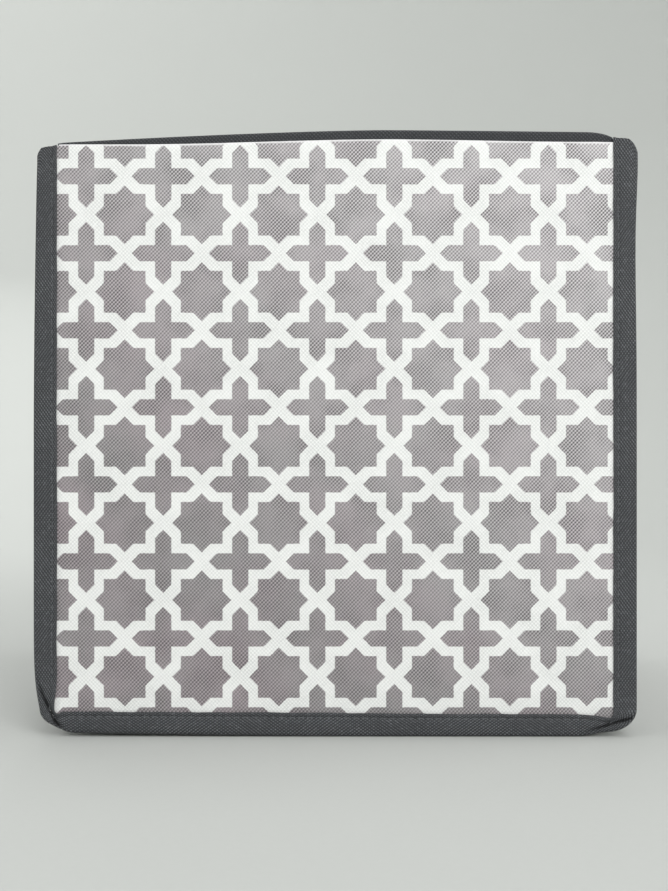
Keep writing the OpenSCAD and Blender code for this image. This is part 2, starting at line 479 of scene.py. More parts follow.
def make_tape(name, turn, seed):
    rows = np.arange(len(tape_section))
    stations = np.arange(len(seam_x))
    widths = np.cumsum(np.concatenate([[0], np.full(len(rows) - 1, TAPE_WIDE / (len(rows) - 1))]))
    return cloth(
        name, rows, stations,
        place=lambda row, station: tape_points(row, station, turn, seed),
        cut=lambda row, station, laid: (widths[row], seam_length[station]),
        thickness=tape_thick,
        # the crease mask carries the painted shade in the bottoms of the tucked creases
        marks={"crease_painted_shade": lambda row, station, laid: crease_shadow(turn(*laid.T)[0], laid[:, 2])})


front_tape = make_tape("front_tape", as_is, 0)
back_tape = make_tape("back_tape", half_turn, 3)

# %% [markdown]
# ## The stitches
# A lockstitch shows as short, slightly sunk dashes. One stitch is modelled from a six-sided ring that
# is extruded three times, thin at both ends where the thread dives into the cloth. It is copied along
# the seam at the machine's stitch length, with a little unevenness, and each copy is its own mesh.

# %% Model one stitch, one metre long until it is placed
def one_stitch():
    deselect_all()
    bpy.ops.mesh.primitive_circle_add(
        vertices=6, radius=0.22, fill_type="NGON", location=(-0.5, 0, 0), rotation=(0, math.pi / 2, 0))
    stitch = bpy.context.object
    bpy.ops.object.transform_apply(location=True, rotation=True, scale=True)
    bpy.ops.object.mode_set(mode="EDIT")
    bpy.ops.mesh.select_mode(type="FACE")
    bpy.ops.mesh.select_all(action="SELECT")
    for move, lift, grow in ((0.2, 0.35, 2.2), (0.6, 0.0, 1.0), (0.2, -0.35, 1 / 2.2)):
        bpy.ops.mesh.extrude_region_move(TRANSFORM_OT_translate={"value": (move, 0, lift)})
        bpy.ops.transform.resize(value=(1, grow, grow))
    bpy.ops.mesh.select_all(action="SELECT")
    bpy.ops.mesh.normals_make_consistent(inside=False)
    bpy.ops.object.mode_set(mode="OBJECT")
    return stitch


STITCH_LENGTH = 3.3 * MM
THREAD = 0.55 * MM
pattern_stitch = one_stitch()
print("one stitch:", len(pattern_stitch.data.polygons), "faces")


# %% Copy it along a line
def lay_stitches(name, places):
    """A joined row of stitches. Each place is a point, the thread's direction and the cloth's normal."""
    copies = []
    for index, (point, direction, normal) in enumerate(places):
        side = normal.cross(direction).normalized()
        long = STITCH_LENGTH * (1 + 0.08 * math.sin(2.9 * index))
        skew = side * 0.05 * math.sin(1.7 * index)
        along = (direction + skew).normalized() * long
        matrix = Matrix((along, side * THREAD, normal * THREAD * 0.62)).transposed().to_4x4()
        matrix.translation = point
        copy = bpy.data.objects.new(name, pattern_stitch.data.copy())
        copy.data.transform(matrix)
        bpy.context.collection.objects.link(copy)
        copies.append(copy)
    deselect_all()
    for copy in copies:
        copy.select_set(True)
    bpy.context.view_layer.objects.active = copies[0]
    bpy.ops.object.join()
    row = bpy.context.object
    row.name = name
    smooth_faces(row, 70)
    print(f"{name}: {len(copies)} stitches")
    return row


# %% Stitch the tape down, on its front and on its rear
def seam_places(turn, seed):
    places = []
    for leg in (-1, 1):
        for length in np.arange(9 * MM, seam_length[-1] - 9 * MM, STITCH_PITCH):
            ends = []
            for at in (length, length + 0.5 * MM):
                x, z, nx, nz = (np.interp(at, seam_length, values) for values in seam[:4])
                start = tape_inner(x, z, nx, at)
                a = start + STITCH_IN
                px, pz = x + nx * a, z + nz * a
                stand = tape_relief(np.array(STITCH_IN), tape_width(x, z, nx) - start)
                stand = stand + 0.16 * MM * ripple(at, a, 21 * MM, 1.7 + seed)
                depth = mid_depth + leg * (stand + 0.02 * MM)
                pz = settle_end(px, pz, a)
                ends.append(Vector(turn(float(px), float(-half_d + depth), float(pz))))
            normal = Vector(turn(0.0, float(leg), 0.0))
            places.append((ends[0], (ends[1] - ends[0]).normalized(), normal))
    return places


front_stitches = lay_stitches("front_stitches", seam_places(as_is, 0))
back_stitches = lay_stitches("back_stitches", seam_places(half_turn, 3))

# %% [markdown]
# ## The printed front and back
# The print is one square sheet over the board. It runs on under the tape into the seam, and its top is
# turned in, which shows as a narrow fold under the dark rim, with a painted highlight along it. The
# sheet is pulled tight, so only faint pillows and puckers are left, strongest beside the seam.

# %% Lay a printed panel
PANEL_MARGIN = 8.5 * MM   # how far the printed cloth runs on under the tape
HEM_R = 0.55 * MM         # radius of the turned-in fold at the print's top
PANEL_CORNER = 17 * MM    # its hidden lower corners are cut round, inside the tape
BELOW_END = 1.9 * MM      # the seam's cloth stops this far below the tape's end
IN_SEAM = 0.45 * MM       # the seam pulls the print's edge back this far


def panel_rows():
    """Heights of the rows as shares up the panel, then the steps of the fold at its top."""
    upright = np.linspace(0, 1, 150)
    fold = 1 + np.arange(1, 8)
    return np.concatenate([upright, fold])


def panel_points(u, v, edge, turn, seed):
    low = under_z - PANEL_MARGIN + 1 * MM
    share = np.minimum(v, 1)
    z = low + (print_top - low) * share
    width = half_w + PANEL_MARGIN
    into_corner = np.maximum(low + PANEL_CORNER - z, 0)
    inset = PANEL_CORNER - np.sqrt(np.maximum(PANEL_CORNER ** 2 - into_corner ** 2, 0))
    x = u * (width - inset)
    z = settle(z, print_top, edge(x)) - HEM_R
    beyond = np.abs(x) - half_w
    end = tape_end(x, np.maximum(beyond, 0)) - BELOW_END
    z = np.where(beyond > 0, np.minimum(z, end), z)
    in_seam = 1 - smooth((1 * MM - np.maximum(beyond, under_z - z)) / (2 * MM))
    on_board = smooth(-beyond / (9 * MM)) * smooth((z - under_z) / (9 * MM))
    pillow = 0.35 * MM * on_board
    pulled = 0.10 * MM * ripple(x, z, 34 * MM, 0.8 + seed)
    pulled = pulled + 0.16 * MM * ripple(x, z, 120 * MM, 2.2 + seed)
    puckers = 0.10 * MM * np.cos(math.tau * z / (8.8 * MM) + seed)
    puckers = puckers * hump(np.abs(x) - half_w + 3 * MM, 5 * MM)
    y = -half_d - pillow - (pulled + puckers) * on_board + IN_SEAM * in_seam
    fold = np.maximum(v - 1, 0)
    turned = np.minimum(fold / 4, 1) * math.pi
    y = y + np.where(v > 1, HEM_R * (1 - np.cos(turned)), 0)
    z = z + np.where(v > 1, HEM_R * np.sin(turned) - 1.6 * MM * np.maximum(fold - 4, 0), 0)
    return turn(x, y, z)


def make_panel(name, edge, turn, seed):
    across = np.linspace(-1, 1, 150)
    along = panel_rows()
    side = -1 if turn is half_turn else 1
    return cloth(
        name, across, along,
        place=lambda u, v: panel_points(u, v, edge, turn, seed),
        cut=lambda u, v, laid: (side * laid[:, 0], laid[:, 2] + 1.7 * MM * np.maximum(v - 5, 0)),
        thickness=skin,
        marks={"below_fold": lambda u, v, laid: edge(side * laid[:, 0]) - laid[:, 2]})


front_print = make_panel("front_print", front_edge, as_is, 0)
back_print = make_panel("back_print", back_edge, half_turn, 5)

# %% [markdown]
# ## The wrap: both sides and the underside
# A single printed strip makes the left side, the underside and the right side. Its long edges turn out
# into the seams behind the tape. Each side wall is sewn through down its middle, between two half
# boards, so that it can fold inwards: the strip dips into that crease.

# %% Lay the wrap
CREASE_DEEP = 1.25 * MM   # how far a side wall is drawn in where it folds
CREASE_WIDE = 1.9 * MM
CREASE_MARGIN = 8 * MM
SKIN_OUT = 0.35 * MM      # the cloth stands off the CAD face by this much
wrap_x, wrap_z, wrap_nx, wrap_nz, wrap_length = u_line(coarse=3.4 * MM, fine=2.0 * MM, corner_steps=7)
wrap_edge_y = half_d - fin_thick      # outer face of the wrap's turned-out edge
FLANGE = 7.6 * MM         # how far that edge reaches into the seam
WRAP_BEND = 0.9 * MM      # radius of the turn into the seam


def crease_dip(y, z):
    """How far a side wall is drawn in at its middle crease."""
    ends = smooth((z - under_z - 3 * MM) / (10 * MM)) * smooth((print_top - 2 * MM - z) / (9 * MM))
    stitched = hump(y, CREASE_WIDE)
    valley = 0.25 * hump(y, 9 * MM)
    return CREASE_DEEP * (0.8 * stitched + valley) * ends


def wrap_columns():
    """Places across the wrap: beyond the body's depth a value counts on along the turned-out edge."""
    half = np.concatenate([
        np.linspace(0, 5 * MM, 9)[:-1],
        np.linspace(5 * MM, 14 * MM, 7)[:-1],
        np.linspace(14 * MM, wrap_edge_y - 1.5 * MM, 32)[:-1],
        np.linspace(wrap_edge_y - 1.5 * MM, wrap_edge_y + 1.5 * MM, 7)[:-1],
        np.linspace(wrap_edge_y + 1.5 * MM, wrap_edge_y + FLANGE, 4)])
    return np.concatenate([-half[:0:-1], half])


def side_height(y, x):
    """The print's folded edge above a place on either side wall."""
    return np.where(x < 0, side_edge(y, -1), side_edge(y, 1))


def wrap_points(c, station):
    x, z = wrap_x[station], wrap_z[station]
    nx, nz = wrap_nx[station], wrap_nz[station]
    bend = WRAP_BEND
    run = np.abs(c) - (wrap_edge_y - bend)
    turned = np.clip(run / bend, 0, math.pi / 2)
    flange = np.maximum(run - bend * math.pi / 2, 0)
    own = np.where(c < 0, 1, -1)         # the rear tape's rules are the front's, turned round
    flange = flange * np.minimum((tape_width(own * x, z, nx) - 2.6 * MM) / FLANGE, 1)
    y = np.sign(c) * (np.minimum(np.abs(c), wrap_edge_y - bend) + bend * np.sin(turned))
    out = bend * (1 - np.cos(turned)) + flange
    upright = np.abs(nx)
    lie = smooth((wrap_edge_y - np.abs(c)) / (7 * MM))
    inset = crease_dip(c, z) * upright - SKIN_OUT * lie
    inset = inset - 0.16 * MM * ripple(c, z + x, 60 * MM, 3.3) * lie
    e = out - inset
    px, pz = x + nx * e, z + nz * e
    top = side_height(y, x)
    end = settle_end(own * px, pz, np.maximum(out, 0)) - 1.8 * MM
    inner = settle(pz, print_top, top) - HEM_R
    return px, y, np.where((z > half_w / 2) & (flange > 0), np.minimum(end, inner), inner)


body_wrap = cloth(
    "side_wrap", wrap_columns(), np.arange(len(wrap_x)), place=wrap_points,
    cut=lambda c, station, laid: (c, print_top - wrap_length[station]), thickness=skin,
    marks={"below_fold": lambda c, station, laid: side_height(laid[:, 1], laid[:, 0]) - laid[:, 2]})

# %% [markdown]
# ## The lining
# The lining is cut like the outside: a sheet for the front, a sheet for the back and one strip for the
# sides and the bottom. At the rim it rolls over the boards and shows as the dark edge above the print.

# %% Lay the lining of the front and of the back
ROLL_R = wall / 2         # the lining rolls over the boards at the rim
LIP = 7 * MM              # how far the lining comes down outside, behind the print's fold


def lining_profile(height, inside_foot, steps):
    """Length marks along a lining: up the lip, over the roll, down the inside."""
    return np.concatenate([
        np.linspace(-LIP, 0, 6)[:-1],
        np.linspace(0, math.pi * ROLL_R, 13)[:-1],
        math.pi * ROLL_R + np.linspace(0, height - inside_foot, steps)])


def roll(mark, top):
    """Depth into the wall and height for a length mark, with the roll's crest at top."""
    turned = np.clip(mark / ROLL_R, 0, math.pi)
    depth = ROLL_R * (1 - np.cos(turned))
    height = top - ROLL_R + ROLL_R * np.sin(turned)
    down = np.maximum(mark - math.pi * ROLL_R, 0)
    return depth, height + np.minimum(mark, 0), down


panel_marks = lining_profile(rim_z - ROLL_R, floor_z, 70)


def panel_lining_points(u, mark, rim, turn, seed):
    x = u * (half_w - 0.2 * MM)
    top = rim(x)
    depth, height, down = roll(mark, top)
    share = down / (panel_marks[-1] - math.pi * ROLL_R)
    z = height - share * (top - ROLL_R - floor_z)
    x = x * (1 - 0.028 * smooth(down / (3 * MM)))
    ends = smooth((np.abs(u) - 0.975) / 0.025)
    lip_in = SKIN_OUT + 0.9 * MM * ends * smooth(-mark / (2 * MM) + 0.6)
    slack = 0.22 * MM * ripple(x, z, 80 * MM, 1.1 + seed) * smooth(down / (30 * MM))
    y = -half_d + depth + lip_in * (1 - depth / wall)
    y = y - SKIN_OUT * smooth(down / (10 * MM)) + slack
    z = z - 0.3 * MM * ends * smooth(1 - np.abs(mark - 1.5 * ROLL_R) / (3 * ROLL_R))
    return turn(x, y, z)


def make_lining(name, rim, turn, seed):
    return cloth(
        name, np.linspace(-1, 1, 110), panel_marks,
        place=lambda u, mark: panel_lining_points(u, mark, rim, turn, seed),
        cut=lambda u, mark, laid: (u * half_w, mark), thickness=skin)


front_lining = make_lining("front_lining_cloth", front_rim, as_is, 0)
back_lining = make_lining("back_lining_cloth", back_rim, half_turn, 4)

# %% Lay the lining of the sides and the bottom
side_down = rim_z - ROLL_R - floor_z
floor_half = half_w - wall
FLOOR_R = 3 * MM          # the strip's soft turn from wall to floor
TUCKED = 0.5 * MM         # the strip runs on this far into the lining of the front and the back


def side_lining_marks():
    """Length marks from the left lip, down the left wall to the middle of the floor."""
    return np.concatenate([
        lining_profile(rim_z - ROLL_R, floor_z + FLOOR_R, 62)[:-1],
        math.pi * ROLL_R + side_down - FLOOR_R + np.linspace(0, FLOOR_R * math.pi / 2, 6)[:-1],
        math.pi * ROLL_R + side_down + FLOOR_R * (math.pi / 2 - 1)
        + np.linspace(0, floor_half - FLOOR_R, 30)])


def side_lining_points(y, mark):
    """The mark counts from the left lip, and past the middle of the floor towards the right lip."""
    middle = half_marks[-1]
    side = np.where(mark > middle, 1.0, -1.0)
    m = np.where(mark > middle, 2 * middle - mark, mark)
    top = np.where(side < 0, side_rim(y, -1), side_rim(y, 1))
    depth, height, down = roll(m, top)
    wall_run = side_down - FLOOR_R
    turned = np.clip((down - wall_run) / FLOOR_R, 0, math.pi / 2)
    share = np.clip(down / wall_run, 0, 1)
    level = np.maximum(down - wall_run - FLOOR_R * math.pi / 2, 0)
    z = height - share * (top - ROLL_R - floor_z - FLOOR_R) - FLOOR_R * np.sin(turned)
    inward = depth + FLOOR_R * (1 - np.cos(turned)) + level
    lip_in = SKIN_OUT * (1 - depth / wall)
    upright = (1 - smooth(turned)) * smooth(down / (2 * MM))
    dip = crease_dip(y, z) * upright
    slack = 0.22 * MM * ripple(y, z, 80 * MM, 2.6) * smooth(down / (30 * MM)) * (1 - smooth(turned))
    x = side * (half_w - inward - lip_in - slack + dip)
    return x, y, z


half_marks = side_lining_marks()
full_marks = np.concatenate([half_marks, 2 * half_marks[-1] - half_marks[-2::-1]])
side_columns = np.concatenate([
    np.linspace(half_d - wall + TUCKED, 5 * MM, 34)[:-1], np.linspace(5 * MM, -5 * MM, 15)[:-1],
    np.linspace(-5 * MM, wall - TUCKED - half_d, 34)])
side_lining = cloth(
    "side_lining_cloth", side_columns, full_marks, place=side_lining_points,
    cut=lambda y, mark, laid: (y, mark), thickness=skin)

# %% [markdown]
# ## The stiffening boards
# Gray board stands between the print and the lining. It never shows, but its top edge has to stay
# under the rolled rim, so each board is a thin box whose upper corners are trimmed to the rim's rule.

# %% Cut the boards
BOARD_STRIP = 6 * MM      # a board is cut into strips so that its top can follow the rim
BOARD_BELOW = 1.3 * MM    # its top stays under the rolled lining
CLIP = 4 * MM             # its upper corners are clipped


def make_board(name, node, rim):
    """A box primitive at the CAD board's place, cut into strips and trimmed along the top."""
    low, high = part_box(node)
    deselect_all()
    bpy.ops.mesh.primitive_cube_add(size=1, location=(low + high) / 2)
    board = bpy.context.object
    board.name = name
    board.scale = high - low
    bpy.ops.object.transform_apply(location=True, rotation=False, scale=True)
    wide = 0 if high.x - low.x > high.y - low.y else 1
    bpy.ops.object.mode_set(mode="EDIT")
    for at in np.arange(low[wide] + BOARD_STRIP, high[wide], BOARD_STRIP):
        plane = Vector((0, 0, 0))
        plane[wide] = 1
        bpy.ops.mesh.select_all(action="SELECT")
        bpy.ops.mesh.bisect(plane_co=plane * float(at), plane_no=plane)
    bpy.ops.object.mode_set(mode="OBJECT")
    points = read_points(board)
    at_top = points[:, 2] > high.z - 1 * MM
    from_end = np.minimum(points[at_top, wide] - low[wide], high[wide] - points[at_top, wide])
    clipped = CLIP * (1 - np.clip(from_end / (5 * MM), 0, 1))
    points[at_top, 2] = rim(points[at_top, wide]) - BOARD_BELOW - clipped
    board.data.vertices.foreach_set("co", points.ravel())
    select_only(board)
    bevel = board.modifiers.new("worn edges", "BEVEL")
    bevel.width = 0.3 * MM
    bevel.segments = 2
    bpy.ops.object.modifier_apply(modifier=bevel.name)
    smooth_faces(board, 40)
    return board


boards = {
    "front_stiffener": ("front_board", front_rim),
    "back_stiffener": ("back_board", lambda x: back_rim(-x))}
for side_name, side in (("left", -1), ("right", 1)):
    for end in ("front", "rear"):
        boards[f"{side_name}_stiffener_{end}"] = (
            f"{side_name}_board_{end}", lambda y, side=side: side_rim(y, side))
board_pieces = [make_board(name, node, rim) for name, (node, rim) in boards.items()]
print("boards:", [board.name for board in board_pieces])

# %% [markdown]
# ## The stitches down the side creases
# The same stitch runs down each side wall's crease, outside and inside, and holds the two layers of
# cloth together between the half boards.

# %% Stitch the creases
def crease_places(side):
    places = []
    dip = CREASE_DEEP * 1.05
    for face, inward in ((side, dip - SKIN_OUT), (-side, wall - dip)):
        x = side * (half_w - inward) + face * 0.05 * MM
        for z in np.arange(under_z + 2 * CREASE_MARGIN, print_top - 2 * CREASE_MARGIN, STITCH_PITCH):
            places.append((Vector((x, 0, z)), Vector((0, 0, 1)), Vector((face, 0, 0))))
    return places


left_crease = lay_stitches("left_crease_stitches", crease_places(-1))
right_crease = lay_stitches("right_crease_stitches", crease_places(1))
bpy.data.objects.remove(pattern_stitch)

# %% [markdown]
# ## The loose base
# A board covered in the lining's cloth stiffens the bottom and lifts out. The cover is pulled round the
# board's edges and turned in under it, and a smaller sheet closes the underside.

# %% A rule for a sheet that rolls round the edges of a board
BASE_CORNER_R = 5 * MM
HEM = 20 * MM             # how far the cover is turned in under the board


def round_corners(x, y, half_x, half_y, radius=BASE_CORNER_R):
    """Moves the points of a square corner onto a round one."""
    over_x = np.maximum(np.abs(x) - half_x + radius, 0)
    over_y = np.maximum(np.abs(y) - half_y + radius, 0)
    reach = np.hypot(over_x, over_y)
    keep = np.maximum(over_x, over_y) / np.maximum(reach, 1e-9)
    both = (over_x > 0) & (over_y > 0)
    x = np.where(both, np.sign(x) * (half_x - radius + over_x * keep), x)
    y = np.where(both, np.sign(y) * (half_y - radius + over_y * keep), y)
    return x, y


base_low, base_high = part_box("base_cover_top")
base_half = base_high.x
base_r = (base_high.z - base_low.z) / 2
base_marks = np.concatenate([
    np.linspace(0, base_half - base_r - 6 * MM, 46)[:-1],
    np.linspace(base_half - base_r - 6 * MM, base_half - base_r, 5)[:-1],
    base_half - base_r + np.linspace(0, math.pi * base_r, 13)[:-1],
    base_half - base_r + math.pi * base_r + np.linspace(0, HEM, 8)])
base_marks = np.concatenate([-base_marks[:0:-1], base_marks])


def base_cover_points(a, b):
    """Marks count from the middle: over the top, round the board's edge and in under it as a hem."""
    ring = np.maximum(np.maximum(np.abs(a), np.abs(b)), 1e-9)
    beyond = np.maximum(ring - base_half + base_r, 0)
    turned = np.clip(beyond / base_r, 0, math.pi)
    under = np.maximum(beyond - math.pi * base_r, 0)
    size = np.minimum(ring, base_half - base_r) + base_r * np.sqrt(np.sin(turned)) - under
    lift_z = np.sign(np.cos(turned)) * np.sqrt(np.abs(np.cos(turned)))
    x, y = round_corners(a / ring * size, b / ring * size, size, size)
    slack = 0.22 * MM * ripple(x, y, 95 * MM, 1.9) + 0.12 * MM * ripple(x, y, 37 * MM, 0.7)
    soft = smooth((base_half - ring) / (14 * MM))
    pulled = 0.25 * MM * smooth((base_half - 2 * MM - ring) / (8 * MM))
    z = (base_low.z + base_high.z) / 2 + base_r * lift_z + (slack + pulled) * soft
    return x, y, z


base_cover = cloth(
    "base_cloth", base_marks, base_marks, place=base_cover_points,
    cut=lambda a, b, laid: (a, b), thickness=skin)

# %% Close the underside with a smaller sheet
sheet_low, sheet_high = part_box("base_cover_underside")
sheet_marks = np.linspace(-sheet_high.x, sheet_high.x, 60)


def underside_points(a, b):
    x, y = round_corners(a, b, sheet_high.x, sheet_high.y)
    return x, y, sheet_low.z + 0.05 * MM * (1 + ripple(x, y, 60 * MM, 2.8))


base_sheet = cloth(
    "base_underside_cloth", sheet_marks, sheet_marks[::-1], place=underside_points,
    cut=lambda a, b, laid: (a, b), thickness=skin * 0.9)

# %% [markdown]
# ## Shader maths as plain expressions
# A pattern such as this print is easiest to read as a formula. The class below wraps a node's output,
# so that adding or multiplying two of them adds the Math node that does it. Every other node comes
# from its node method, which takes the node's type, its settings and what goes into its sockets.


# %% A socket that can be calculated with
class Wire:
    def __init__(self, tree, output=None):
        self.tree = tree
        self.output = output

    def node(self, kind, settings=None, inputs=None, output=0):
        made = self.tree.nodes.new(kind)
        for name, value in (settings or {}).items():
            setattr(made, name, value)
        for key, value in (inputs or {}).items():
            if isinstance(value, Wire):
                self.tree.links.new(value.output, made.inputs[key])
            else:
                made.inputs[key].default_value = value
        return Wire(self.tree, None if output is None else made.outputs[output])

    def math(self, operation, *values):
        return self.node("ShaderNodeMath", {"operation": operation}, dict(enumerate(values)))

    def __add__(self, other):
        return self.math("ADD", self, other)

    def __radd__(self, other):
        return self.math("ADD", other, self)

    def __sub__(self, other):
        return self.math("SUBTRACT", self, other)

    def __rsub__(self, other):
        return self.math("SUBTRACT", other, self)

    def __mul__(self, other):
        return self.math("MULTIPLY", self, other)

    def __rmul__(self, other):
        return self.math("MULTIPLY", other, self)

    def __abs__(self):
        return self.math("ABSOLUTE", self)

    def cosine(self):
        return self.math("COSINE", self)

    def other(self, name):
        """Another output of the same node."""
        return Wire(self.tree, self.output.node.outputs[name])

    def step(self, low, high):
        """0 below low, 1 above high, and a smooth rise between them. A high below low turns it round."""
        if high < low:
            return 1 - self.step(high, low)
        return self.node(
            "ShaderNodeMapRange", {"interpolation_type": "SMOOTHSTEP"}, {0: self, 1: low, 2: high})

    def mix(self, first, second):
        """The colour first where this wire is 0, second where it is 1."""
        return self.node(
            "ShaderNodeMix", {"data_type": "RGBA", "clamp_factor": True},
            {0: self, 6: first, 7: second}, output=2)


# %% Colours and a fresh material
def colour(red, green, blue):
    """A colour from the 0 to 255 steps of a colour picker, as the linear light that shaders work in."""
    channels = []
    for step in (red, green, blue):
        share = step / 255
        channels.append(share / 12.92 if share <= 0.04045 else ((share + 0.055) / 1.055) ** 2.4)
    return (*channels, 1)


def new_finish(name):
    material = bpy.data.materials.new(name)
    material.use_nodes = True
    material.node_tree.nodes.clear()
    return material, Wire(material.node_tree)


def finish_with(start, base, roughness, height, depth, **constants):
    """Joins colour, roughness and a height map to a Principled shader and the material's output."""
    normal = start.node("ShaderNodeBump", None, {"Strength": 1.0, "Distance": depth, "Height": height})
    inputs = {"Base Color": base, "Roughness": roughness, "Normal": normal, **constants}
    shader = start.node("ShaderNodeBsdfPrincipled", None, inputs)
    start.node("ShaderNodeOutputMaterial", None, {"Surface": shader}, output=None)


# %% [markdown]
# ## Pressed nonwoven cloth
# Spunbond cloth isn't woven: its fibres are welded together by a roller with a fine grid of dots. Each
# weld is a small pit that catches less light, and between the pits the fibres stand up in fine
# diagonal ridges. Two cosine waves multiplied make that grid. The same grid, in other sizes, serves
# the print, the tape and the lining, because the UV maps hold true lengths on the cloth.

# %% The weld grid, and what every cloth has in common
def cloth_places(start):
    """The place on the flat cloth from the piece's UV map, and its two parts in millimetres."""
    place = start.node("ShaderNodeUVMap", {"uv_map": "cut"})
    across = start.node("ShaderNodeSeparateXYZ", None, {0: place})
    return place, across * 1000, across.other("Y") * 1000


def noise(start, place, size, detail=2.0, roughness=0.5):
    """Noise whose largest spots are about size metres wide."""
    return start.node(
        "ShaderNodeTexNoise", None,
        {"Vector": place, "Scale": 1 / size, "Detail": detail, "Roughness": roughness})


def weld_grid(across, along, pitch_across, pitch_along):
    """1 in the middle of a weld, -1 on the crossing of the ridges between welds."""
    return (across * (math.tau / pitch_across)).cosine() * (along * (math.tau / pitch_along)).cosine()


# %% [markdown]
# ## The print
# The pattern repeats on a square grid. A cross stands at the middle of each square and a star at its
# corners, with a white band between them. Folding the plane into one square first means that each
# shape is written only once: a cross is two crossed bars whose diagonal reach is limited, and a star
# is a square laid over a turned square. Each shape is a distance that is negative inside, so the ink's
# edge can be given any softness, and a little noise on the place makes that edge uneven, as the
# absorbent cloth does.

# %% The printed pattern as a formula
WELD_ACROSS = 1.80        # millimetres from one weld to the next, across the cloth
WELD_ALONG = 1.87         # and along it
REPEAT = 36.96            # millimetres from one cross to the next
CROSS_X = -8.62           # a column of crosses is this far from the middle of the front
CROSS_Z = 269.0           # height of the top row of crosses
BAR = 0.105               # half the width of a cross's bar, as a share of the repeat
CROSS_REACH = 0.409       # how far a cross reaches, along both bars together
STAR_SQUARE = 0.271       # half the side of a star's square
STAR_DIAMOND = 0.383      # half the diagonal of its turned square
ROUNDING = 0.015          # how round the corners of each shape are


def folded(place, offset):
    """Distance from the nearest cross's middle along one direction, in repeats: 0 to 0.5."""
    cells = (place - offset) * (1 / REPEAT)
    return abs(cells - cells.math("ROUND", cells))


def printed_distance(start, place, across, along):
    """Distance from the ink's edge, in repeats: negative where the gray is printed."""
    wobble = noise(start, place, 1.1 * MM, 2.0)
    wobble_up = noise(start, place, 1.4 * MM, 3.0)
    x = folded(across + (wobble - 0.5) * 0.55, CROSS_X)
    y = folded(along + (wobble_up - 0.5) * 0.55, CROSS_Z)
    bars = x.math("SMOOTH_MIN", x, y, ROUNDING) - BAR
    reach = (x + y - CROSS_REACH) * math.sqrt(0.5)
    cross = bars.math("SMOOTH_MAX", bars, reach, ROUNDING)
    from_x = 0.5 - x
    from_y = 0.5 - y
    square = from_x.math("SMOOTH_MAX", from_x, from_y, ROUNDING) - STAR_SQUARE
    diamond = (from_x + from_y - STAR_DIAMOND) * math.sqrt(0.5)
    star = square.math("SMOOTH_MIN", square, diamond, ROUNDING)
    return cross.math("MINIMUM", cross, star)


# %% Printed cloth
def printed_cloth():
    material, start = new_finish("printed_cloth")
    place, across, along = cloth_places(start)
    ink = printed_distance(start, place, across, along).step(0.006, -0.006)
    slanted = ((across * (1 / WELD_ACROSS) - along * (1 / WELD_ALONG)) * math.tau).cosine()
    grid = weld_grid(across, along, WELD_ACROSS, WELD_ALONG) * 0.86 + slanted * 0.14
    uneven = noise(start, place, 20 * MM, 3.0)
    fibres = noise(start, place, 0.55 * MM, 3.0, 0.65)
    weld = grid.step(-0.80, 0.70) * (0.62 + 0.38 * uneven.step(0.30, 0.70))
    tint = noise(start, place, 60 * MM, 2.0).step(0.30, 0.70)
    ridge = tint.mix(colour(166, 162, 164), colour(170, 159, 164))
    pit = tint.mix(colour(74, 71, 72), colour(78, 70, 74))
    # Painted sheen: the gray's ridges turn paler the higher and further right they lie on the cloth,
    # standing in for the haze of light there, with some random unevenness on top.
    painted_sheen = (along * 0.0028 + across * 0.0022 - 0.10) + (uneven - 0.5) * 0.3
    ridge = painted_sheen.math("MAXIMUM", painted_sheen, 0.0).mix(ridge, colour(226, 222, 225))
    gray = weld.mix(ridge, pit)
    white = weld.mix(colour(250, 250, 249), colour(222, 223, 222))
    shade = ink.mix(white, gray)
    shade = (fibres.step(0.25, 0.75) * 0.14).mix(shade, colour(206, 204, 204))
    fold = start.node("ShaderNodeAttribute", {"attribute_name": "below_fold"}, output="Fac")
    # Painted highlight: a pale line along the print's folded top edge, standing in for the light that
    # the fold catches.
    wear_and_highlight = (fold * 1000 + (uneven - 0.5) * 0.8 + (fibres - 0.5) * 0.6).step(1.3, 0.5) * 0.8
    shade = wear_and_highlight.mix(shade, colour(238, 236, 238))
    height = fibres * 0.25 - weld + ink * 0.06
    roughness = 0.50 + 0.12 * fibres - 0.12 * weld
    finish_with(
        start, shade, roughness, height, 0.16 * MM,
        **{"Sheen Weight": 0.12, "Sheen Roughness": 0.45, "Specular IOR Level": 0.42})
    return material


print_finish = printed_cloth()
print("printed cloth:", len(print_finish.node_tree.nodes), "nodes")

# %% [markdown]
# ## The dark cloths
# The tape, the lining and the base's cover are the same kind of cloth dyed through, so one function
# makes all three. Worn ridges are paler than the dye, and the tape, which is pulled tight and rubbed
# most, shows the palest flecks.

